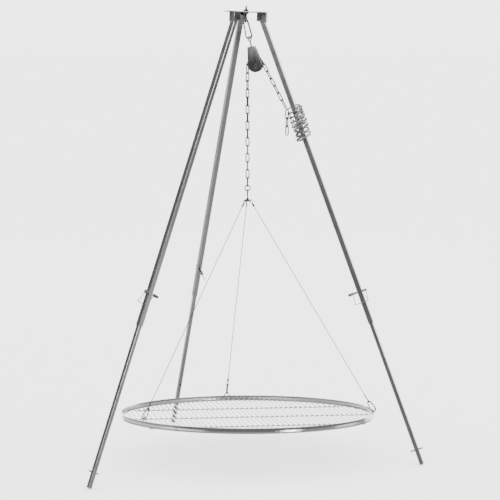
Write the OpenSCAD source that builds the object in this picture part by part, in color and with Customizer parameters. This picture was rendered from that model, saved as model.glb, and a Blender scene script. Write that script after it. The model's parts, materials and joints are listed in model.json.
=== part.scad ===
// Campfire tripod with a round cooking grate hung on a pulley chain.
// Millimetres, +Z up. The origin is on the ground, straight below the eye bolt.

/* [Tripod] */
// Distance of the underside of the top plate from the ground, along the tripod's axis
plate_z = 1752; // [1500:1:2000]
// Lean of the tripod's axis towards +X, as it stands on its three legs
stand_lean = 2.1; // [0:0.1:3]
// Diameter of the top plate
plate_d = 170; // [160:1:190]
// Thickness of the top plate
plate_t = 4; // [3:0.5:6]
// Angle of each leg from the tripod's axis
splay = 22.4; // [21:0.1:24]
// Directions of the left, right and rear leg, counter-clockwise from +X
leg_turn = [-131.4, -11.4, 108.6]; // [-180:0.1:180]
// Distance of the leg hinges from the tripod's axis
hinge_r = 61.5; // [58:0.5:64]
// Depth of the leg hinges below the top plate
hinge_drop = 19; // [17:0.5:22]

/* [Legs] */
// Width of the square upper tube
upper_w = 20; // [18:0.5:25]
// Width of the square lower tube
lower_w = 16; // [14:0.5:20]
// Wall of both tubes
tube_wall = 1.5; // [1:0.1:2]
// Distance from the hinge to the lower end of the upper tube
upper_reach = 1257; // [1000:1:1400]
// Distance from the lock pin to the lower end of the upper tube
lock_inset = 130; // [80:1:200]
// Diameter of the lock pin
lock_d = 8; // [6:0.5:8]
// Length of the foot cross bar
foot_bar_l = 50; // [40:1:80]
// Turn of each foot cross bar about its leg
foot_bar_turn = [0, 0, 90]; // [0:90:90]

/* [Hoist] */
// Distance of the hoisting chain from the eye bolt, towards the right leg
hoist_x = 7; // [0:1:30]
// Wire diameter of the chain
chain_wire = 4.5; // [3.5:0.1:4.5]
// Inner length of a chain link
link_inner = 32; // [30:0.5:34]
// Outer width of a chain link
link_w = 16; // [15:0.5:16]
// Links in the vertical run between the pulley and the ring
hoist_links = 15; // [12:1:16]
// Links in the run from the pulley to the right leg
haul_links = 6; // [6:1:6]
// Links wound round the right leg
wrap_links = 42; // [12:1:44]

/* [Grate] */
// Outside diameter of the grate's rim
grate_d = 1000; // [700:10:1000]
// Height of the rim's top edge above the ground
rim_top_z = 185; // [180:1:260]
// Tilt of the hanging grate, its rear edge lower than its front
grate_tilt = 3; // [0:0.1:4]
// Height of the rim band
rim_h = 22; // [18:1:26]
// Thickness of the rim band
rim_t = 3; // [2:0.5:4]
// Diameter of the cooking bars
bar_d = 5; // [4:0.5:6]
// Spacing of the cooking bars
bar_pitch = 20; // [16:0.5:24]
// Turn of the bars away from the Y axis
bar_turn = 9; // [0:1:30]
// Directions of the left, rear and right sling rope
sling_turn = [-142, 100, -10]; // [-180:1:180]
// Diameter of the sling ropes
rope_d = 3; // [2.5:0.1:3]

/* [Hidden] */
$fn = 48;

fit = 0.08;        // radial running clearance of a pin in its bore
gap = 0.3;         // clearance between pieces that only hang on each other
LEFT = 0;
RIGHT = 1;
REAR = 2;
steel = [0.74, 0.75, 0.77];
bright = [0.84, 0.85, 0.87];
dark = [0.36, 0.37, 0.39];

// Legs. In a leg's own frame the origin is the hinge, -Z runs down the leg and +X faces outwards.
hinge_z = plate_z - hinge_drop;
hang_drop = 37;                // lowest wire of the eye bolt below the plate
stand_x = -(plate_z - hang_drop) * sin(stand_lean);
lock_reach = upper_reach - lock_inset;
lower_top = lock_reach + lock_d / 2 + gap / 3;
leg_head = 12;                 // tube above the hinge
hinge_bolt_d = 8;
foot_bar_d = 6;
foot_bar_up = 60;              // cross bar above the foot
stow_hole_up = 190;            // hole for the lock pin when the leg is pushed in

// Brackets
cheek_t = 3;
cheek_in = 45;
web_in = 80;
cheek_h = 33;
web_h = hinge_drop + (web_in - gap - hinge_r - upper_w / 2 / cos(splay)) / tan(splay);

// Lock pins, along the leg's X axis, and the wire bow that turns on each
lock_tip = 28;
lock_head_in = 34;
lock_head_out = 48;
lock_head_d = 12;
bow_wire = 3;
bow_reach = 48;
bow_out = 23;
bow_in = 29;
bow_lean = -30;                // rest angle of the bow from the leg, about the pin
bow_eye_r = lock_d / 2 + gap + bow_wire / 2;

// Chain
half_pitch_wire = link_inner / 2 + chain_wire / 2;
hoist_pitch = link_inner - 0.6;
bend_pitch = link_inner - 1.2;
sheave_step = 58;
sheave_r = bend_pitch / 2 / sin(sheave_step / 2);
pulley_x = hoist_x + sheave_r;
ring_z = 1068;
ring_r = 10.5;
ring_wire = 4.5;
ring_touch = ring_wire / 2 + chain_wire / 2 + gap / 2;
chain_low_z = ring_z + ring_r - ring_touch + half_pitch_wire - hoist_pitch / 2;
pulley_z = chain_low_z + hoist_links * hoist_pitch;

// Eye bolt, carabiner and pulley hang on one line, which leans towards the right leg
eye_wire = 8;
eye_r = 12;
eye_z = plate_z - hang_drop + eye_r;
hang_z = (plate_z - hang_drop) * cos(stand_lean);
lean = atan2(pulley_x, hang_z - pulley_z);
hang_l = norm([pulley_x, hang_z - pulley_z]);
carabiner_l = 73;
carabiner_low_r = 11.5;
carabiner_top_r = 8.3;
carabiner_wire = 7;
carabiner_top = eye_wire / 2 + carabiner_wire / 2 + gap;
swivel_wire = 4.5;
swivel_r = 9;
swivel_turn = 60;              // the swivel eye's turn across the carabiner, which lifts it by swivel_lift
swivel_lift = 1.6;
swivel_top = carabiner_top - carabiner_l + carabiner_wire / 2 + swivel_wire / 2 + gap + swivel_lift;
cheek_gap = 23;
pulley_cheek_t = 2.5;
pulley_r = 28;
pulley_top = 74;
pulley_top_w = 28;
axle_d = 8;

// Sling: rope eyes, snap hooks and rim eyes lie on the line from the rim eye to the hub
rim_r = grate_d / 2 - rim_t / 2;
rim_eye_h = 18;
rim_eye_w = 25;
rim_eye_wire = 4;
hub_z = 1018.5;
hub_t = 5;
hub_r = 13.5;
hub_hole_r = 9;
hub_hole_d = 6;
hub_loop_r = (hub_hole_r + hub_hole_d / 2 + hub_r) / 2;
hook_wire = 5;
hook_l = 45;
hook_low_r = 10;
hook_top_r = 6;
hook_low = -(rim_eye_wire / 2 + hook_wire / 2 + gap) / sin(atan2(rim_eye_w / 2, rim_eye_h + 2));
eye_bottom_r = 6;
eye_top_r = 4.6;
thimble_wire = 0.8;
eye_bottom = hook_low + hook_l - hook_wire / 2 - rope_d / 2 - thimble_wire - 2 * gap + eye_bottom_r;
eye_bottom_l = 18;
eye_top_l = 14;
rope_pair = rope_d / 2 + 0.1;
ferrule_l = 12;

function rim_end(i) =
    let (p = spin([rim_r, 0, rim_eye_h], sling_turn[i]), c = cos(grate_tilt), s = sin(grate_tilt))
    [p.x, p.y * c + p.z * s, rim_top_z + p.z * c - p.y * s];

function hub_end(i) = spin([hub_loop_r, 0, hub_z], sling_turn[i]);

function sling_l(i) = norm(hub_end(i) - rim_end(i));

// Grate
bar_z = bar_d / 2 + 0.5 - rim_h;
cross_d = 6;
cross_z = bar_z - bar_d / 2 - cross_d / 2;
cross_at = [-260, 0, 260];
bar_n = floor((grate_d / 2 - rim_t - bar_d) / bar_pitch);

// ---- Placing ----

function spin(p, a) = [p.x * cos(a) - p.y * sin(a), p.x * sin(a) + p.y * cos(a), p.z];

function tip(p, a) = [p.x * cos(a) + p.z * sin(a), p.y, p.z * cos(a) - p.x * sin(a)];

function leg_to_world(i, p) = [stand_x, 0, 0]
    + tip(spin([hinge_r, 0, hinge_z] + tip(p, -splay), leg_turn[i]), stand_lean);

// Distance from the hinge to the end of the leg, whose lowest corner is on the ground
function leg_reach(i) = let (hinge = leg_to_world(i, [0, 0, 0]),
        corner = [for (v = [[1, 0, 0], [0, 1, 0]]) abs((leg_to_world(i, v) - hinge).z) * lower_w / 2])
    (hinge.z - corner[0] - corner[1]) / (leg_to_world(i, [0, 0, 1]) - hinge).z;

module in_tripod() translate([stand_x, 0, 0]) rotate([0, stand_lean, 0]) children();

module in_hoist() rotate([0, 0, leg_turn[RIGHT]]) children();

// Origin on the ground under the hanging ring
module in_hung() in_hoist() translate([hoist_x, 0, 0]) rotate([0, 0, -leg_turn[RIGHT]]) children();

// Origin at the middle of the rim's top edge
module in_grate() in_hung() translate([0, 0, rim_top_z]) rotate([-grate_tilt, 0, 0]) children();

module in_leg(i) in_tripod() rotate([0, 0, leg_turn[i]]) translate([hinge_r, 0, hinge_z])
    rotate([0, -splay, 0]) children();

// Origin at the eye bolt's lowest wire, +Z up along the hanging line
module in_hanging() in_hoist() translate([0, 0, hang_z]) rotate([0, -lean, 0]) children();

// Origin at the pulley's axle, +Z up along the hanging line
module in_pulley() in_hanging() translate([0, 0, -hang_l]) children();

// Origin at the top of rim eye i, +Z along its rope
module in_sling(i) in_hung() aim(rim_end(i), hub_end(i)) rotate([0, 0, 180]) children();

// Lays a piece that stands on Z from one point towards another
module aim(from, to) {
    v = to - from;
    translate(from) rotate([0, acos(v.z / norm(v)), atan2(v.y, v.x)]) children();
}

// ---- Shapes ----

module rod(from, to, d) aim(from, to) cylinder(d = d, h = norm(to - from));

// Part of a ring in the XZ plane, angles from +X towards +Z
module wire_arc(r, from, to, d) rotate([90, 0, 0]) mirror([0, 0, 1]) rotate([0, 0, from])
    rotate_extrude(angle = to - from) translate([r, 0]) circle(d = d);

module wire_ring(r, d) rotate([90, 0, 0]) rotate_extrude() translate([r, 0]) circle(d = d);

module hexagon(across, h) cylinder(d = across / cos(30), h = h, $fn = 6);

module square_tube(w, wall, from, to) difference() {
    translate([-w / 2, -w / 2, -to]) cube([w, w, to - from]);
    translate([wall - w / 2, wall - w / 2, -to - 1]) cube([w - 2 * wall, w - 2 * wall, to - from + 2]);
}

// Link in the XZ plane, centred, long way up
module chain_link() {
    bend = (link_w - chain_wire) / 2;
    straight = link_inner / 2 + chain_wire / 2 - bend;
    translate([0, 0, straight]) wire_arc(bend, 0, 180, chain_wire);
    translate([0, 0, -straight]) wire_arc(bend, 180, 360, chain_wire);
    for (x = [-bend, bend]) translate([x, 0, -straight]) cylinder(d = chain_wire, h = 2 * straight);
}

module link_between(a, b, roll) aim(a, b)
    translate([0, 0, norm(b - a) / 2]) rotate([0, 0, roll]) chain_link();

// Pear-shaped snap hook in the XZ plane, its wide end's wire at z = 0 and its narrow end's at z = l.
// The gate closes the -X side.
function hook_slope(l, wide, narrow) = asin((wide - narrow) / (l - wide - narrow));

module hook_body(l, wide, narrow, d) {
    a = hook_slope(l, wide, narrow);
    side = [cos(a), 0, sin(a)];
    low = [0, 0, wide];
    high = [0, 0, l - narrow];
    rod(low + wide * side, high + narrow * side, d);
    for (p = [low + wide * side, high + narrow * side]) translate(p) sphere(d = d + 0.2);
    translate(low) wire_arc(wide, -180 - a - 4, a, d);
    translate(high) wire_arc(narrow, a, 180 - a, d);
}

// Ends of the gate: [pivot, nose]
gate_barrel = 0.95;
function gate_ends(l, wide, narrow, d) = let (a = hook_slope(l, wide, narrow), s = [-cos(a), 0, sin(a)])
    [[0, 0, l - narrow] + narrow * s + [-sin(a), 0, -cos(a)] * (d * gate_barrel / 2 + gap),
     [0, 0, wide] + wide * s + [0, 0, 1.5]];

module hook_gate(l, wide, narrow, d) {
    ends = gate_ends(l, wide, narrow, d);
    rod(ends[0], ends[1], d * 0.8);
    translate(ends[0]) rotate([90, 0, 0]) cylinder(d = d * gate_barrel, h = d, center = true);
}

// Rope eye in the XZ plane round the origin. Its two ropes come together at z = l.
function eye_angle(r, l) = 90 - atan2(rope_pair, l) - acos(r / norm([rope_pair, l]));

module rope_eye(r, l) {
    a = eye_angle(r, l);
    wire_arc(r, 180 - a, 360 + a, rope_d);
    for (s = [-1, 1]) {
        rod([s * r * cos(a), 0, r * sin(a)], [s * rope_pair, 0, l - 0.5], rope_d);
        translate([s * r * cos(a), 0, r * sin(a)]) sphere(d = rope_d + 0.2);
    }
}

module eye_thimble(r, l) {
    a = eye_angle(r, l);
    wire_arc(r - (rope_d + thimble_wire) / 2 - 0.1, 180 - a, 360 + a, thimble_wire);
}

// ---- Top ----

module top_plate() color(steel) in_tripod() difference() {
    translate([0, 0, plate_z]) cylinder(d = plate_d, h = plate_t, $fn = 96);
    translate([0, 0, plate_z - 1]) cylinder(d = 10.2, h = plate_t + 2);
}

module bracket(i) color(steel) in_tripod() rotate([0, 0, leg_turn[i]]) difference() {
    inner = upper_w / 2 + gap;
    union() {
        for (s = [-1, 1]) translate([cheek_in, s * (inner + cheek_t / 2) - cheek_t / 2, plate_z - cheek_h])
            cube([web_in + cheek_t - cheek_in, cheek_t, cheek_h]);
        translate([web_in, -inner - cheek_t, plate_z - web_h]) cube([cheek_t, 2 * (inner + cheek_t), web_h]);
    }
    translate([hinge_r, 0, hinge_z]) rotate([90, 0, 0])
        cylinder(r = hinge_bolt_d / 2 + fit, h = 60, center = true);
}

module hinge_bolt(i) color(bright) in_tripod() rotate([0, 0, leg_turn[i]]) translate([hinge_r, 0, hinge_z]) {
    half = upper_w / 2 + gap + cheek_t;
    rotate([90, 0, 0]) translate([0, 0, -half - 9]) cylinder(d = hinge_bolt_d, h = 2 * half + 9);
    rotate([90, 0, 0]) translate([0, 0, half]) hexagon(13, 5.3);
}

module hinge_nuts() color(bright) in_tripod() for (i = [LEFT, RIGHT, REAR])
    rotate([0, 0, leg_turn[i]]) translate([hinge_r, upper_w / 2 + gap + cheek_t, hinge_z]) rotate([-90, 0, 0])
        difference() {
            hexagon(13, 6.5);
            translate([0, 0, -1]) cylinder(r = hinge_bolt_d / 2 + fit, h = 10);
        }

eye_washer_t = 1.6;
eye_nut_t = 5;
eye_shank_top = plate_z + plate_t + 12;

module eye_bolt() color(bright) in_tripod() {
    translate([0, 0, eye_z]) rotate([0, 0, leg_turn[RIGHT] + 90]) wire_ring(eye_r, eye_wire);
    translate([0, 0, eye_z + eye_r + 1]) cylinder(d = 10, h = eye_shank_top - eye_z - eye_r - 1);
}

module eye_nuts() color(bright) in_tripod() {
    for (z = [plate_z - eye_washer_t - eye_nut_t, plate_z + plate_t + eye_washer_t])
        translate([0, 0, z]) difference() {
            hexagon(16, eye_nut_t);
            translate([0, 0, -1]) cylinder(d = 10.2, h = eye_nut_t + 2);
        }
    translate([0, 0, eye_shank_top + gap]) {
        cylinder(d1 = 11, d2 = 7, h = 5);
        translate([0, 0, 5]) cylinder(d1 = 7, d2 = 3, h = 4);
    }
}

module eye_washers() color(steel) in_tripod() for (z = [plate_z - eye_washer_t, plate_z + plate_t])
    translate([0, 0, z]) difference() {
        cylinder(d = 21, h = eye_washer_t);
        translate([0, 0, -1]) cylinder(d = 10.4, h = eye_washer_t + 2);
    }

// ---- Hanging line ----

module at_carabiner() in_hanging() translate([0, 0, carabiner_top - carabiner_l]) children();

module carabiner_body() color(steel) at_carabiner()
    hook_body(carabiner_l, carabiner_low_r, carabiner_top_r, carabiner_wire);

module carabiner_gate() color(bright) at_carabiner()
    hook_gate(carabiner_l, carabiner_low_r, carabiner_top_r, carabiner_wire);

module pulley_eye() color(bright) in_hanging() {
    stud = pulley_top - 6;
    translate([0, 0, swivel_top - swivel_r]) rotate([0, 0, swivel_turn]) wire_ring(swivel_r, swivel_wire);
    translate([0, 0, stud - hang_l]) cylinder(d = 6, h = hang_l - stud + swivel_top - 2 * swivel_r - 1);
    translate([0, 0, stud - 4 - hang_l]) cylinder(d = 11, h = 4);
}

module pulley_head() color(dark) in_pulley() difference() {
    translate([-13, -cheek_gap / 2, pulley_top - 12]) cube([26, cheek_gap, 12]);
    translate([0, 0, pulley_top - 14]) cylinder(r = 3 + fit, h = 16);
    translate([0, 0, pulley_top - 14]) cylinder(d = 12, h = 8 + fit);
}

module pulley_cheek(side) color(dark) in_pulley() difference() {
    taper = asin((pulley_r - pulley_top_w / 2) / pulley_top);
    translate([0, side * (cheek_gap + pulley_cheek_t) / 2, 0]) rotate([90, 0, 0]) {
        cylinder(r = pulley_r, h = pulley_cheek_t, center = true, $fn = 72);
        linear_extrude(pulley_cheek_t, center = true) polygon([
            [-pulley_r * cos(taper), pulley_r * sin(taper)], [pulley_r * cos(taper), pulley_r * sin(taper)],
            [pulley_top_w / 2, pulley_top], [-pulley_top_w / 2, pulley_top]]);
    }
    rotate([90, 0, 0]) cylinder(r = axle_d / 2 + fit, h = 60, center = true);
}

module pulley_axle() color(bright) in_pulley() rotate([90, 0, 0]) {
    half = cheek_gap / 2 + pulley_cheek_t;
    cylinder(d = axle_d, h = 2 * half, center = true);
    for (m = [0, 1]) mirror([0, 0, m]) translate([0, 0, half]) cylinder(d1 = 14, d2 = 9, h = 3);
}

module pulley_sheave() color(steel) in_pulley() rotate([90, 0, 0]) rotate_extrude($fn = 72) difference() {
    translate([axle_d / 2 + fit, -10.6]) square([25 - axle_d / 2 - fit, 21.2]);
    translate([20, -8.8]) square([10, 17.6]);
}

// ---- Chain ----

// Points on the sheave where two links meet, from the vertical run over the top to the hauling run
function sheave_point(k) = let (a = 180 - k * sheave_step)
    [pulley_x + sheave_r * cos(a), 0, pulley_z + sheave_r * sin(a)];

// Points where the wound links meet, in the leg's own frame. The turns hang lower on one side.
wrap_from = 366;
wrap_r = 29;
wrap_rise = 3.1;
wrap_sag = 6;
wrap_step = 2 * asin(sqrt(pow(bend_pitch - 0.6, 2) - pow(wrap_rise, 2)) / 2 / wrap_r);

function wrap_point(k) = let (turn = k * wrap_step)
    [-wrap_r * cos(turn), wrap_r * sin(turn), wrap_sag * sin(turn) - wrap_from - k * wrap_rise];

// The hauling run points from the sheave to where the wound links start, given in the hoist frame
haul_from = sheave_point(3);
haul_to = spin(leg_to_world(RIGHT, wrap_point(0)), -leg_turn[RIGHT]);
haul_way = (haul_to - haul_from) / norm(haul_to - haul_from);

module chain_on_sheave() color(bright) in_hoist() for (k = [0:2])
    link_between(sheave_point(k), sheave_point(k + 1), 45 + 90 * k);

// Height where link k of the vertical run starts
function hoist_point(k) = [hoist_x, 0, pulley_z - k * hoist_pitch];

// The run twists by an eighth of a turn on its way down
function hoist_roll(k) = 45 + 90 * k + 45 * k / hoist_links;

module hoist_link(k) link_between(hoist_point(k), hoist_point(k + 1), hoist_roll(k));

module chain_top_link() color(bright) in_hoist() hoist_link(0);

module chain_hoist_run() color(bright) in_hoist() for (k = [1:hoist_links - 1]) hoist_link(k);

module chain_haul_run() color(bright) in_hoist() for (k = [0:haul_links - 1])
    translate(k * hoist_pitch * haul_way)
        link_between(haul_from, haul_from + hoist_pitch * haul_way, 135 + 90 * k);

module chain_wraps() color(bright) in_leg(RIGHT) for (k = [0:wrap_links - 1])
    link_between(wrap_point(k), wrap_point(k + 1), 90 + 90 * k);

// The loose end hangs beside the wound turns
tail_links = 3;
tail_top = [171, -42, 1376];

module chain_tail() color(bright) in_hoist() for (k = [0:tail_links - 1])
    link_between(tail_top - [0, 0, k * hoist_pitch], tail_top - [0, 0, (k + 1) * hoist_pitch], 20 + 90 * k);

// The ring stands across the last link, the swivel eye across the ring
ring_turn = leg_turn[RIGHT] + 90 - hoist_roll(hoist_links - 1);

module hanging_ring() color(bright) in_hung() translate([0, 0, ring_z]) rotate([0, 0, ring_turn])
    wire_ring(ring_r, ring_wire);

// ---- Sling ----

swivel_loop_r = 5;
swivel_loop_z = ring_z - ring_r + ring_touch - swivel_loop_r;
swivel_low_z = swivel_loop_z - 16;
swivel_head_d = 9;
collar_h = 10;

module swivel_eye() color(steel) in_hung() {
    rotate([0, 0, ring_turn + 90]) {
        translate([0, 0, swivel_loop_z]) wire_arc(swivel_loop_r, 0, 180, chain_wire);
        translate([0, 0, swivel_low_z]) wire_arc(swivel_loop_r, 180, 360, chain_wire);
        for (x = [-swivel_loop_r, swivel_loop_r]) translate([x, 0, swivel_low_z])
            cylinder(d = chain_wire, h = swivel_loop_z - swivel_low_z);
    }
    translate([0, 0, hub_z]) cylinder(d = 5, h = swivel_low_z - swivel_loop_r - hub_z - 1);
    translate([0, 0, hub_z - 2]) cylinder(d = swivel_head_d, h = 2);
}

module swivel_hub() color(dark) in_hung() difference() {
    union() {
        translate([0, 0, hub_z - hub_t / 2]) cylinder(r = hub_r, h = hub_t);
        translate([0, 0, hub_z + hub_t / 2]) cylinder(d = 12, h = collar_h - hub_t / 2);
    }
    cylinder(r = 2.5 + fit, h = hub_z + 50);
    cylinder(r = swivel_head_d / 2 + 0.2, h = hub_z + fit);
    for (a = sling_turn) rotate([0, 0, a]) translate([hub_hole_r, 0, hub_z - 20])
        cylinder(d = hub_hole_d, h = 40);
}

module rope(i) color(steel) in_sling(i) {
    translate([0, 0, eye_bottom]) rotate([0, 0, 90]) rope_eye(eye_bottom_r, eye_bottom_l);
    translate([0, 0, sling_l(i)]) mirror([0, 0, 1]) rope_eye(eye_top_r, eye_top_l);
    translate([0, 0, eye_bottom + eye_bottom_l + ferrule_l])
        cylinder(d = rope_d, h = sling_l(i) - eye_top_l - eye_bottom - eye_bottom_l - 2 * ferrule_l);
}

// Pressed sleeves, flattened where they hold two ropes side by side
module rope_ferrules() color(bright) for (i = [0:2]) in_sling(i) {
    translate([0, 0, eye_bottom + eye_bottom_l]) rotate([0, 0, 90]) ferrule();
    translate([0, 0, sling_l(i) - eye_top_l - ferrule_l]) ferrule();
}

module ferrule() {
    for (s = [-1, 1]) translate([s * rope_pair, 0, 0]) cylinder(d = rope_d + 2, h = ferrule_l);
    translate([-rope_pair, -rope_d / 2 - 1, 0]) cube([2 * rope_pair, rope_d + 2, ferrule_l]);
}

module rope_thimbles() color(bright) for (i = [0:2]) in_sling(i)
    translate([0, 0, eye_bottom]) rotate([0, 0, 90]) eye_thimble(eye_bottom_r, eye_bottom_l);

module at_hook(i) in_sling(i) translate([0, 0, hook_low]) children();

module snap_hooks() color(steel) for (i = [0:2]) at_hook(i)
    hook_body(hook_l, hook_low_r, hook_top_r, hook_wire);

module snap_gate(i) color(bright) at_hook(i) hook_gate(hook_l, hook_low_r, hook_top_r, hook_wire);

// ---- Grate ----

module rim_eyes() color(steel) in_grate() for (a = sling_turn) rotate([0, 0, a]) translate([rim_r, 0, 0]) {
    top = [0, 0, rim_eye_h];
    difference() {
        union() {
            for (s = [-1, 1]) rod([0, s * rim_eye_w / 2, -2], top, rim_eye_wire);
            translate(top) sphere(d = rim_eye_wire + 0.4);
        }
        translate([-10, -30, -20]) cube([20, 60, 20]);
    }
}

module grate_rim() color(bright) in_grate() translate([0, 0, -rim_h]) rotate_extrude($fn = 180)
    translate([grate_d / 2 - rim_t, 0]) square([rim_t, rim_h]);

// Half length of a bar of diameter d, at distance x from the centre, inside a circle of radius r
function half_chord(r, x, d) = sqrt(pow(r, 2) - pow(abs(x) + d / 2, 2));

module grate_bars() color(steel) in_grate() rotate([0, 0, bar_turn]) for (k = [-bar_n:bar_n]) {
    x = k * bar_pitch;
    half = half_chord(grate_d / 2 - rim_t, x, bar_d);
    translate([x, half, bar_z]) rotate([90, 0, 0]) cylinder(d = bar_d, h = 2 * half);
}

module grate_cross_bars() color(steel) in_grate() rotate([0, 0, bar_turn]) for (y = cross_at) {
    half = half_chord(grate_d / 2 - rim_t - 2, y, cross_d);
    translate([-half, y, cross_z]) rotate([0, 90, 0]) cylinder(d = cross_d, h = 2 * half);
}

// ---- Legs ----

module upper_tube(i) color(steel) in_leg(i) difference() {
    square_tube(upper_w, tube_wall, -leg_head, upper_reach);
    rotate([90, 0, 0]) cylinder(r = hinge_bolt_d / 2 + fit, h = 60, center = true);
    translate([0, 0, -lock_reach]) rotate([0, 90, 0]) cylinder(r = lock_d / 2 + fit, h = 60, center = true);
}

module lower_tube(i) color(steel) in_leg(i) difference() {
    square_tube(lower_w, tube_wall, lower_top, leg_reach(i));
    translate([0, 0, stow_hole_up - leg_reach(i)]) rotate([0, 90, 0])
        cylinder(r = lock_d / 2 + fit, h = 60, center = true);
    at_foot_bar(i) cylinder(r = foot_bar_d / 2 + fit, h = 60, center = true);
}

module at_foot_bar(i) translate([0, 0, foot_bar_up - leg_reach(i)]) rotate([0, 0, foot_bar_turn[i]])
    rotate([0, 90, 0]) children();

module foot_bar(i) color(bright) in_leg(i) at_foot_bar(i)
    cylinder(d = foot_bar_d, h = foot_bar_l, center = true);

module lock_pin(i) color(bright) in_leg(i) translate([0, 0, -lock_reach]) rotate([0, 90, 0]) {
    translate([0, 0, -lock_head_in]) cylinder(d = lock_d, h = lock_head_in + lock_tip);
    translate([0, 0, -lock_head_out]) cylinder(d = lock_head_d, h = lock_head_out - lock_head_in);
}

module lock_bow(i) color(bright) in_leg(i) translate([0, 0, -lock_reach]) rotate([bow_lean, 0, 0]) {
    for (x = [-bow_in, bow_out]) {
        translate([x, 0, 0]) rotate([0, 0, 90]) wire_ring(bow_eye_r, bow_wire);
        rod([x, 0, -bow_eye_r - 0.2], [x, 0, -bow_reach], bow_wire);
        translate([x, 0, -bow_reach]) sphere(d = bow_wire);
    }
    rod([-bow_in, 0, -bow_reach], [bow_out, 0, -bow_reach], bow_wire);
}

top_plate();
bracket(LEFT);  // bracket_left
bracket(RIGHT);  // bracket_right
bracket(REAR);  // bracket_rear
hinge_bolt(LEFT);  // hinge_bolt_left
hinge_bolt(RIGHT);  // hinge_bolt_right
hinge_bolt(REAR);  // hinge_bolt_rear
hinge_nuts();
eye_bolt();
eye_nuts();
eye_washers();
carabiner_body();
carabiner_gate();
pulley_eye();
pulley_head();
pulley_cheek(-1);  // pulley_cheek_front
pulley_cheek(1);  // pulley_cheek_back
pulley_axle();
pulley_sheave();
chain_on_sheave();
chain_top_link();
chain_hoist_run();
chain_haul_run();
chain_wraps();
chain_tail();
hanging_ring();
swivel_eye();
swivel_hub();
rope(0);  // rope_left
rope(1);  // rope_rear
rope(2);  // rope_right
rope_ferrules();
rope_thimbles();
snap_hooks();
snap_gate(0);  // snap_gate_left
snap_gate(1);  // snap_gate_rear
snap_gate(2);  // snap_gate_right
rim_eyes();
grate_rim();
grate_bars();
grate_cross_bars();
upper_tube(LEFT);  // upper_tube_left
upper_tube(RIGHT);  // upper_tube_right
upper_tube(REAR);  // upper_tube_rear
lower_tube(LEFT);  // lower_tube_left
lower_tube(RIGHT);  // lower_tube_right
lower_tube(REAR);  // lower_tube_rear
lock_pin(LEFT);  // lock_pin_left
lock_pin(RIGHT);  // lock_pin_right
lock_pin(REAR);  // lock_pin_rear
lock_bow(LEFT);  // lock_bow_left
lock_bow(RIGHT);  // lock_bow_right
lock_bow(REAR);  // lock_bow_rear
foot_bar(LEFT);  // foot_bar_left
foot_bar(RIGHT);  // foot_bar_right
foot_bar(REAR);  // foot_bar_rear
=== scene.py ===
"""Looks of the campfire tripod grate. Metres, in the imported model's frame."""

import json
from math import acos, asin, atan2, cos, pi, radians, sin, sqrt, tau

import bmesh
import bpy
from mathutils import Matrix, Vector

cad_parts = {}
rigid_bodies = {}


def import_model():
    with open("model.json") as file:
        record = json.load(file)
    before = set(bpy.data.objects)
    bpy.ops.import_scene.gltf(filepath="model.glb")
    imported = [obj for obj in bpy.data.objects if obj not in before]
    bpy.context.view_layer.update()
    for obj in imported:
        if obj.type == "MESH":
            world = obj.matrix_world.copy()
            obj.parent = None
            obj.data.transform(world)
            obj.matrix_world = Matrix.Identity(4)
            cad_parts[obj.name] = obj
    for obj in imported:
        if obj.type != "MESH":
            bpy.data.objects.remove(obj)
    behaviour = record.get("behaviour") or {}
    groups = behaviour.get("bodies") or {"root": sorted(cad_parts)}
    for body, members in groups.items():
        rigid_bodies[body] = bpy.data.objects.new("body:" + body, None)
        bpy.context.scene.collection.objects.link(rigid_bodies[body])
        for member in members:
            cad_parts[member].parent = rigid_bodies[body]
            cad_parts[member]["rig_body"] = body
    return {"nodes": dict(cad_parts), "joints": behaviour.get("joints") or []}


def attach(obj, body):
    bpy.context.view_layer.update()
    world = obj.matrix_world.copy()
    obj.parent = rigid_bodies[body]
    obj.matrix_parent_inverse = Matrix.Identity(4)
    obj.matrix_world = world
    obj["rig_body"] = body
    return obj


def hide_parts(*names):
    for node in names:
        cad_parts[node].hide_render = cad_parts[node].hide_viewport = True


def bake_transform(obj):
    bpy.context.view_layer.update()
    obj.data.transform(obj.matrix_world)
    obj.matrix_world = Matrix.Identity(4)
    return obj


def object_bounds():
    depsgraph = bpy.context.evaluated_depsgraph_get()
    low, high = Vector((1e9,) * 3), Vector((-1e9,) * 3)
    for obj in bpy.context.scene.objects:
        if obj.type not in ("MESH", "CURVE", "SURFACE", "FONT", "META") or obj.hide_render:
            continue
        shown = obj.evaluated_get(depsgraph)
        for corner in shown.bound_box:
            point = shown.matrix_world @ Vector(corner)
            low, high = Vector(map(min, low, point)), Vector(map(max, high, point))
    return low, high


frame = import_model()
cad_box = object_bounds()

JOINTS = {j["name"]: j for j in frame["joints"]}
LEGS = ("left", "right", "rear")
SLINGS = ("left", "rear", "right")
MM = 0.001

# The grate: its rim, its tilt to the rear and the turn of its bars
GRATE_R = 500 * MM
RIM_T = 3 * MM
RIM_H = 22 * MM
RIM_TOP = 185 * MM
GRATE_TILT = radians(3)
BAR_TURN = radians(9)
BAR_D = 5 * MM
BAR_PITCH = 20 * MM

# The sling ropes, which run from the rim's eyes to the hub. Each ends in an eye: the lower one, round a
# thimble, is "up" above the rim eye's top; r is an eye's radius and l its distance to the ferrule.
SLING_TURN = (radians(-142), radians(100), radians(-10))
ROPE_D = 3 * MM
ROPE_PAIR = 1.6 * MM
ROPE_STRANDS = 6
ROPE_LAY = 21 * MM
RIM_EYE_UP = 18 * MM
HUB_LOOP_R = 12.75 * MM
LOW_EYE = {"up": 36.54 * MM, "r": 6 * MM, "l": 18 * MM}
TOP_EYE = {"r": 4.6 * MM, "l": 14 * MM}
FERRULE_L = 12 * MM


def joint_place(name):
    """Where a joint's axis is."""
    return Vector(JOINTS[name]["pos_m"])


def joint_axis(name):
    return Vector(JOINTS[name]["axis"]).normalized()


# ---------------------------------------------------------------- materials

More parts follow.
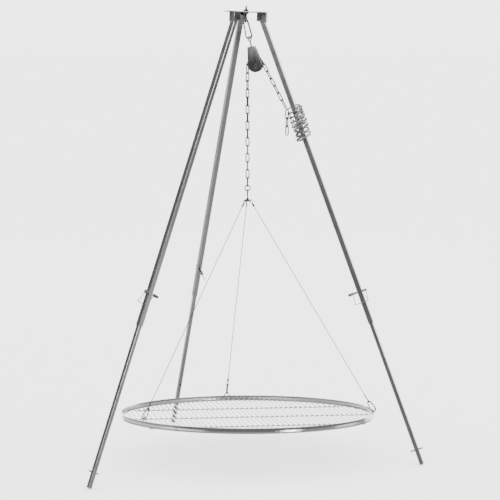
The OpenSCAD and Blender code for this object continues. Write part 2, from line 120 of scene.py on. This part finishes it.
def node_tree(name):
    """A new material, its node tree and its shader."""
    material = bpy.data.materials.new(name)
    material.use_nodes = True
    tree = material.node_tree
    return material, tree, tree.nodes["Principled BSDF"]


def add(tree, kind, **inputs):
    """A new shader node with its inputs or settings filled in."""
    node = tree.nodes.new(kind)
    for key, value in inputs.items():
        if key in node.inputs:
            node.inputs[key].default_value = value
        else:
            setattr(node, key, value)
    return node


def grey(value, warm=0.0):
    """A grey, a little towards red where warm is above 0."""
    return (value * (1 + warm), value, value * (1 - warm))


def ramp(tree, source, low, high, start, end):
    """Maps a value from start to end to a colour from low to high."""
    node = tree.nodes.new("ShaderNodeValToRGB")
    for stop, place, colour in zip(node.color_ramp.elements, (start, end), (low, high)):
        stop.position = place
        stop.color = (*colour, 1)
    tree.links.new(source, node.inputs["Fac"])
    return node.outputs["Color"]


def spread(tree, source, low, high):
    """Maps a noise to the range from low to high."""
    node = add(tree, "ShaderNodeMapRange")
    node.inputs["From Min"].default_value = 0.3
    node.inputs["From Max"].default_value = 0.7
    node.inputs["To Min"].default_value = low
    node.inputs["To Max"].default_value = high
    tree.links.new(source, node.inputs["Value"])
    return node.outputs["Result"]


def metal(name, tone, rough, grain=None, grain_scale=900, patch_scale=14, bump=0.04 * MM, warm=0.004):
    """Steel with patches of tone, a fine grain along the axis `grain` (none for tumbled or cast) and bump."""
    material, tree, shader = node_tree(name)
    link = tree.links.new
    place = add(tree, "ShaderNodeTexCoord").outputs["Object"]
    turn = add(tree, "ShaderNodeMapping")
    stretch = add(tree, "ShaderNodeMapping")
    if grain is not None:
        turn.inputs["Rotation"].default_value = grain.rotation_difference(Vector((0, 0, 1))).to_euler()
        stretch.inputs["Scale"].default_value = (1, 1, 0.012)
    link(place, turn.inputs["Vector"])
    link(turn.outputs["Vector"], stretch.inputs["Vector"])

    patches = add(tree, "ShaderNodeTexNoise", Scale=patch_scale, Detail=4.0, Roughness=0.6)
    link(place, patches.inputs["Vector"])
    lines = add(tree, "ShaderNodeTexNoise", Scale=grain_scale, Detail=3.0, Roughness=0.65)
    link(stretch.outputs["Vector"], lines.inputs["Vector"])
    mix = add(tree, "ShaderNodeMix", data_type="FLOAT")
    mix.inputs[0].default_value = 0.45
    link(patches.outputs["Fac"], mix.inputs[2])
    link(lines.outputs["Fac"], mix.inputs[3])

    colour = ramp(tree, mix.outputs[0], grey(tone[0], warm), grey(tone[1], -warm), 0.3, 0.7)
    link(colour, shader.inputs["Base Color"])
    link(spread(tree, mix.outputs[0], *rough), shader.inputs["Roughness"])
    relief = add(tree, "ShaderNodeBump", Strength=0.6, Distance=bump)
    link(lines.outputs["Fac"], relief.inputs["Height"])
    link(relief.outputs["Normal"], shader.inputs["Normal"])
    shader.inputs["Metallic"].default_value = 1.0
    return material


TUBE = {leg: metal("brushed_tube_" + leg, (0.4, 0.52), (0.26, 0.36), joint_axis("foot_%s_slide" % leg))
        for leg in LEGS}
# A much lighter copy of the tube steel for the rounded corners: a painted highlight along the tube edges.
TUBE_EDGE_HIGHLIGHT = metal("tube_edge_painted_highlight", (0.84, 0.93), (0.2, 0.28))
SHEET = metal("sheet_steel", (0.3, 0.42), (0.3, 0.42), Vector((1, 0, 0)), 700)
# A lighter copy of the sheet steel for the rounded edges of the brackets and the pulley head: a painted highlight
# along those edges.
EDGE_HIGHLIGHT = metal("edge_painted_highlight", (0.7, 0.82), (0.25, 0.35))
FITTING = metal("polished_fitting", (0.24, 0.34), (0.18, 0.3))
CHAIN = metal("tumbled_chain", (0.13, 0.2), (0.22, 0.36), None, 500)
# A lighter copy of the chain steel for the dense wraps: painted light that offsets the shade the wraps cast on
# each other.
CHAIN_WOUND_LIT = metal("tumbled_chain_wound_painted_light", (0.3, 0.42), (0.22, 0.36), None, 500)
PULLEY = metal("pulley_grey", (0.13, 0.18), (0.28, 0.4), None, 400, 30)
# A lighter copy of the pulley grey for the head and the cheeks' rounded edges: a painted highlight, the top of
# the pulley lighter than its lower part.
PULLEY_HIGHLIGHT = metal("pulley_painted_highlight", (0.42, 0.52), (0.3, 0.4))
ROPE = metal("wire_rope", (0.06, 0.1), (0.3, 0.42), None, 1200)
BAR = metal("grate_bar", (0.72, 0.84), (0.28, 0.4), None, 600)
RIM = metal("rim_band", (0.7, 0.8), (0.16, 0.24), None, 500, 9)
WELD = metal("weld_bead", (0.5, 0.72), (0.35, 0.5), None, 1500, 120)


# ---------------------------------------------------------------- mesh helpers

def finish_mesh(name, bm, materials, flat=radians(35)):
    """An object of the finished bmesh, smooth but for edges sharper than flat."""
    mesh = bpy.data.meshes.new(name)
    bm.to_mesh(mesh)
    bm.free()
    for m in materials:
        mesh.materials.append(m)
    for p in mesh.polygons:
        p.use_smooth = True
    mesh.set_sharp_from_angle(angle=flat)
    piece = bpy.data.objects.new(name, mesh)
    bpy.context.scene.collection.objects.link(piece)
    return piece


def cad_mesh(node):
    """The CAD node's mesh with its seams welded."""
    bm = bmesh.new()
    bm.from_mesh(frame["nodes"][node].data)
    bmesh.ops.remove_doubles(bm, verts=bm.verts, dist=1e-6)
    return bm


def stand_for(piece, node):
    """The finished piece takes its CAD node's place and rides on its body."""
    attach(piece, frame["nodes"][node]["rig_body"])
    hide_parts(node)
    return piece


def round_edges(node, width, material, edge_highlight_material, segments=3, longer=0.0, sharper=radians(40)):
    """The CAD node with its long sharp edges rounded over, and given another tone there: where a lighter copy of
    the steel is passed, a painted highlight along the edges.
    """
    bm = cad_mesh(node)
    bmesh.ops.dissolve_limit(bm, angle_limit=radians(0.5), verts=bm.verts, edges=bm.edges)
    edges = [e for e in bm.edges
             if e.is_convex and e.calc_face_angle(0) > sharper and e.calc_length() > longer]
    made = bmesh.ops.bevel(bm, geom=edges, offset=width, segments=segments, profile=0.5, affect="EDGES",
                           clamp_overlap=False)
    # The rounded faces take the second material, which paints a highlight along the edges where it is a lighter
    # copy.
    for f in made["faces"]:
        f.material_index = 1
    return stand_for(finish_mesh(node + "_finished", bm, [material, edge_highlight_material], radians(30)), node)


def paint(node, material):
    """A CAD node that stays as it is, with its own finish."""
    mesh = frame["nodes"][node].data
    mesh.materials.clear()
    mesh.materials.append(material)
    for p in mesh.polygons:
        p.use_smooth = True
    mesh.set_sharp_from_angle(angle=radians(35))


def loose_parts(bm):
    """The indices of the vertices in each connected part, highest part first."""
    seen, parts = set(), []
    for start in bm.verts:
        if start in seen:
            continue
        seen.add(start)
        part, todo = [], [start]
        while todo:
            v = todo.pop()
            part.append(v)
            fresh = [n for n in (e.other_vert(v) for e in v.link_edges) if n not in seen]
            seen.update(fresh)
            todo += fresh
        parts.append(part)
    parts.sort(key=lambda part: -sum(v.co.z for v in part) / len(part))
    return [{v.index for v in part} for part in parts]


# ---------------------------------------------------------------- legs

def legs():
    for leg in LEGS:
        # The tubes' rounded corners take the lighter copy of the steel: a painted highlight along the edges.
        round_edges("upper_tube_" + leg, 2.8 * MM, TUBE[leg], TUBE_EDGE_HIGHLIGHT, longer=0.3)
        round_edges("lower_tube_" + leg, 2.4 * MM, TUBE[leg], TUBE_EDGE_HIGHLIGHT, longer=0.3)
        for node in ("lock_pin_", "lock_bow_", "foot_bar_"):
            paint(node + leg, FITTING)


# ---------------------------------------------------------------- top

def top():
    for leg in LEGS:
        # The brackets' rounded edges take the lighter copy of the steel: a painted highlight.
        round_edges("bracket_" + leg, 0.8 * MM, SHEET, EDGE_HIGHLIGHT, segments=2, longer=0.02)
        paint("hinge_bolt_" + leg, FITTING)
    round_edges("top_plate", 0.3 * MM, SHEET, SHEET, segments=2, sharper=radians(60))
    for node in ("hinge_nuts", "eye_bolt", "eye_nuts", "eye_washers", "carabiner_body", "carabiner_gate"):
        paint(node, FITTING)


def pulley():
    # The cheeks' rounded edges and the whole head take the lighter copy: a painted highlight on the pulley's top
    # and edges.
    for node in ("pulley_cheek_front", "pulley_cheek_back"):
        round_edges(node, 0.9 * MM, PULLEY, PULLEY_HIGHLIGHT, segments=3, sharper=radians(60))
    round_edges("pulley_head", 1.5 * MM, PULLEY_HIGHLIGHT, EDGE_HIGHLIGHT, segments=3, longer=0.01, sharper=radians(60))
    paint("pulley_eye", FITTING)
    paint("pulley_axle", FITTING)
    paint("pulley_sheave", CHAIN)


# ---------------------------------------------------------------- chain

def hung_links(node):
    """A run of chain split into its links, each kept in its shape as its own smoothly shaded object, in place of
    the CAD node.
    """
    whole = cad_mesh(node)
    whole.verts.index_update()
    top = None
    for k, part in enumerate(loose_parts(whole)):
        bm = whole.copy()
        bmesh.ops.delete(bm, geom=[v for v in bm.verts if v.index not in part], context="VERTS")
        middle = sum((v.co for v in bm.verts), Vector()) / len(part)
        top = top or middle
        link = finish_mesh("%s_%d" % (node, k + 1), bm, [CHAIN])
        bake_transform(link)
        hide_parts(node)
    whole.free()


def chain():
    for node in ("chain_on_sheave", "chain_top_link", "chain_tail", "hanging_ring"):
        paint(node, CHAIN)
    # The wraps take the lighter copy of the chain steel: painted light.
    paint("chain_wraps", CHAIN_WOUND_LIT)
    hung_links("chain_hoist_run")
    hung_links("chain_haul_run")


# ---------------------------------------------------------------- sling

def sling_frame(turn):
    """Places a rope's own frame: origin at the rim eye, +Z to the hub. Also gives the rope's length."""
    hub = joint_place("grate_spin")
    axis = Vector((hub.x, hub.y, 0))
    level = Vector((cos(turn), sin(turn), 0))
    tilt = Matrix.Rotation(-GRATE_TILT, 3, "X")
    low = axis + Vector((0, 0, RIM_TOP)) + tilt @ (level * (GRATE_R - RIM_T / 2) + Vector((0, 0, RIM_EYE_UP)))
    way = hub + level * HUB_LOOP_R - low
    across = Vector((0, 0, 1)).cross(-way).normalized()
    out = across.cross(way).normalized()
    place = Matrix((out, across, way.normalized())).transposed().to_4x4()
    return Matrix.Translation(low) @ place, way.length


def eye_points(r, l, step=1 * MM):
    """A rope eye in its own plane: up one side of the ferrule's end, round the origin and back, as (x, z)."""
    turn = pi / 2 - atan2(ROPE_PAIR, l) - acos(r / sqrt(ROPE_PAIR ** 2 + l ** 2))
    count = round((pi + 2 * turn) * r / step)
    arc = [-turn + (pi + 2 * turn) * k / count for k in range(count + 1)]
    ring = [(-r * cos(a), -r * sin(a)) for a in arc]
    start = [(-ROPE_PAIR, l + FERRULE_L / 2), (-ROPE_PAIR, l)]
    end = [(ROPE_PAIR, l), (ROPE_PAIR, l + FERRULE_L / 2)]
    return start + ring + end


def rope_path(length):
    """The rope's centreline in its own frame, from inside one ferrule round its eye to inside the other."""
    low = [Vector((0, x, z + LOW_EYE["up"])) for x, z in eye_points(LOW_EYE["r"], LOW_EYE["l"])]
    high = [Vector((x, 0, length - z)) for x, z in reversed(eye_points(TOP_EYE["r"], TOP_EYE["l"]))]
    first = low[-1].z + FERRULE_L
    last = high[0].z - FERRULE_L
    return low + [Vector((0, 0, first)), Vector((0, 0, last))] + high


def evenly(points, step):
    """The same line with points a step apart."""
    out, carry = [points[0]], 0.0
    for a, b in zip(points, points[1:]):
        length = (b - a).length
        at = step - carry
        while at <= length:
            out.append(a.lerp(b, at / length))
            at += step
        carry = length - (at - step)
    return out + [points[-1]]


def stranded_tube(points, d, lay, strands, sides=3):
    """A rope as one twisted tube whose section has a lobe for each strand."""
    bm = bmesh.new()
    rings, run = [], 0.0
    side = Vector((1, 0, 0))
    for k, p in enumerate(points):
        way = (points[min(k + 1, len(points) - 1)] - points[max(k - 1, 0)]).normalized()
        side = (side - way * side.dot(way)).normalized()
        other = way.cross(side)
        run += (p - points[k - 1]).length if k else 0
        ring = []
        for n in range(strands * sides):
            turn = tau * n / (strands * sides)
            r = d / 2 * (0.86 + 0.14 * abs(cos(strands * turn / 2)))
            turn += tau * run / lay
            ring.append(bm.verts.new(p + r * (cos(turn) * side + sin(turn) * other)))
        rings.append(ring)
    for a, b in zip(rings, rings[1:]):
        for n in range(len(a)):
            m = (n + 1) % len(a)
            bm.faces.new((a[n], a[m], b[m], b[n]))
    bm.faces.new(reversed(rings[0]))
    bm.faces.new(rings[-1])
    return bm


def sling():
    """The stranded ropes with their eyes, and the fittings at their ends."""
    for name, turn in zip(SLINGS, SLING_TURN):
        node = "rope_" + name
        place, length = sling_frame(turn)
        line = evenly(rope_path(length), 1.2 * MM)
        points = [place @ p for p in line]
        rope = finish_mesh(node + "_stranded", stranded_tube(points, ROPE_D, ROPE_LAY, ROPE_STRANDS), [ROPE], pi)
        stand_for(rope, node)
        paint("snap_gate_" + name, FITTING)
    for node in ("swivel_eye", "swivel_hub", "rope_ferrules", "rope_thimbles", "snap_hooks"):
        paint(node, FITTING)


# ---------------------------------------------------------------- grate

def grate_place():
    """The grate's own frame: origin at the middle of the rim's top edge."""
    hub = joint_place("grate_spin")
    return Matrix.Translation((hub.x, hub.y, RIM_TOP)) @ Matrix.Rotation(-GRATE_TILT, 4, "X")


def bar_welds():
    """A bead on top of each end of each bar, where it meets the rim."""
    bm = bmesh.new()
    turn = grate_place() @ Matrix.Rotation(BAR_TURN, 4, "Z")
    inner = GRATE_R - RIM_T
    count = int((inner - BAR_D) / BAR_PITCH)
    for k in range(-count, count + 1):
        x = k * BAR_PITCH
        y = sqrt(inner ** 2 - (abs(x) + BAR_D / 2) ** 2)
        for side in (-1, 1):
            spot = Matrix.Translation((x, side * (y - 0.6 * MM), BAR_D / 2 + 0.9 * MM - RIM_H))
            bead = spot @ Matrix.Diagonal((4.4 * MM, 2.6 * MM, 3.4 * MM, 1))
            bmesh.ops.create_uvsphere(bm, u_segments=10, v_segments=6, radius=0.8, matrix=turn @ bead)
    welds = finish_mesh("bar_welds", bm, [WELD], pi)
    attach(welds, "grate")


def grate():
    paint("rim_eyes", FITTING)
    round_edges("grate_rim", 0.5 * MM, RIM, RIM, segments=2, sharper=radians(60))
    paint("grate_bars", BAR)
    paint("grate_cross_bars", BAR)
    bar_welds()


# ---------------------------------------------------------------- stage

CAMERA_AT = (0.0165, -9.0, 1.8512)
CAMERA_DOWN = radians(6.51)
CAMERA_LENS = 166.47

# The lamps are aimed at the middle of the part. Each has its name, place, width and power.
LAMP_AIM = Vector((0, 0, 0.9))
LAMPS = (("key", (-3.0, -4.0, 5.0), 3.0, 60), ("fill", (4.0, -3.0, 3.0), 3.0, 30))
SKY = 4.0

# What the steel reflects: a tent of cards that only reflections see. Each tier has its height in degrees
# and its cards: (from, to) in degrees from the camera's side, counter-clockwise, and how bright.
TENT = (
    (-89.9, -12, ((-180, 180, 0.5),)),
    (-12, -3, ((-180, -150, 4), (-150, -78, 1.2), (-78, -56, 2.4), (-56, -38, 1.6), (-38, 32, 0.17), (32, 44, 14),
               (44, 84, 0.34), (84, 112, 1.7), (112, 130, 0.37), (130, 150, 2.6), (150, 180, 4))),
    (-3, 18, ((-180, -140, 4), (-140, -60, 0.4), (-60, 60, 0.16), (60, 130, 0.2), (130, 180, 4))),
    (18, 28, ((-180, -155, 4), (-155, -50, 0.14), (-50, 55, 0.3), (55, 130, 0.3), (130, 180, 4))),
    (28, 50, ((-180, -155, 4), (-155, -50, 0.14), (-50, 55, 3.6), (55, 130, 0.3), (130, 180, 4))),
    (50, 89.9, ((-180, 180, 1.2),)),
)


def camera():
    data = bpy.data.cameras.new("camera")
    data.sensor_width = 36
    data.lens = CAMERA_LENS
    data.clip_end = 200
    cam = bpy.data.objects.new("camera", data)
    bpy.context.scene.collection.objects.link(cam)
    cam.matrix_world = Matrix.Translation(CAMERA_AT) @ Matrix.Rotation(pi / 2 - CAMERA_DOWN, 4, "X")
    bpy.context.scene.camera = cam


def pale_floor():
    bm = bmesh.new()
    bmesh.ops.create_grid(bm, x_segments=1, y_segments=1, size=60)
    material, tree, shader = node_tree("pale_floor")
    shader.inputs["Base Color"].default_value = (0.94, 0.94, 0.94, 1)
    shader.inputs["Roughness"].default_value = 0.9
    piece = finish_mesh("floor", bm, [material])
    piece.location.z = cad_box[0][2] - 0.5 * MM
    piece.visible_glossy = False


def area_light(name, place, size, power):
    data = bpy.data.lights.new(name, "AREA")
    data.size = size
    data.energy = power
    lamp = bpy.data.objects.new(name, data)
    lamp.location = place
    lamp.rotation_euler = (LAMP_AIM - Vector(place)).to_track_quat("-Z", "Y").to_euler()
    bpy.context.scene.collection.objects.link(lamp)


def bright_world():
    world = bpy.data.worlds.new("studio")
    bpy.context.scene.world = world
    world.use_nodes = True
    background = world.node_tree.nodes["Background"]
    background.inputs["Color"].default_value = (1, 1, 1, 1)
    background.inputs["Strength"].default_value = SKY


def card(turn_from, turn_to, low, high, bright, radius=7.0, step=4):
    """Part of a sphere round the scene that glows, but only in reflections."""
    bm = bmesh.new()
    wide = max(1, round((turn_to - turn_from) / step))
    tall = max(1, round((high - low) / step))
    rows = []
    for k in range(wide + 1):
        turn = radians(-90 + turn_from + (turn_to - turn_from) * k / wide)
        up = [radians(low + (high - low) * n / tall) for n in range(tall + 1)]
        rows.append([bm.verts.new((radius * cos(turn) * cos(u), radius * sin(turn) * cos(u), radius * sin(u)))
                     for u in up])
    for a, b in zip(rows, rows[1:]):
        for n in range(tall):
            bm.faces.new((a[n], b[n], b[n + 1], a[n + 1]))
    material, tree, shader = node_tree("card")
    shader.inputs["Base Color"].default_value = (0, 0, 0, 1)
    shader.inputs["Specular IOR Level"].default_value = 0
    shader.inputs["Emission Color"].default_value = (1, 1, 1, 1)
    shader.inputs["Emission Strength"].default_value = bright
    piece = finish_mesh("card", bm, [material])
    piece.visible_camera = piece.visible_diffuse = piece.visible_shadow = piece.visible_transmission = False


def tent():
    for low, high, cards in TENT:
        for start, end, bright in cards:
            card(start, end, low, high, bright)


def stage():
    camera()
    pale_floor()
    bright_world()
    tent()
    for lamp in LAMPS:
        area_light(*lamp)


stage()
legs()
top()
pulley()
chain()
sling()
grate()
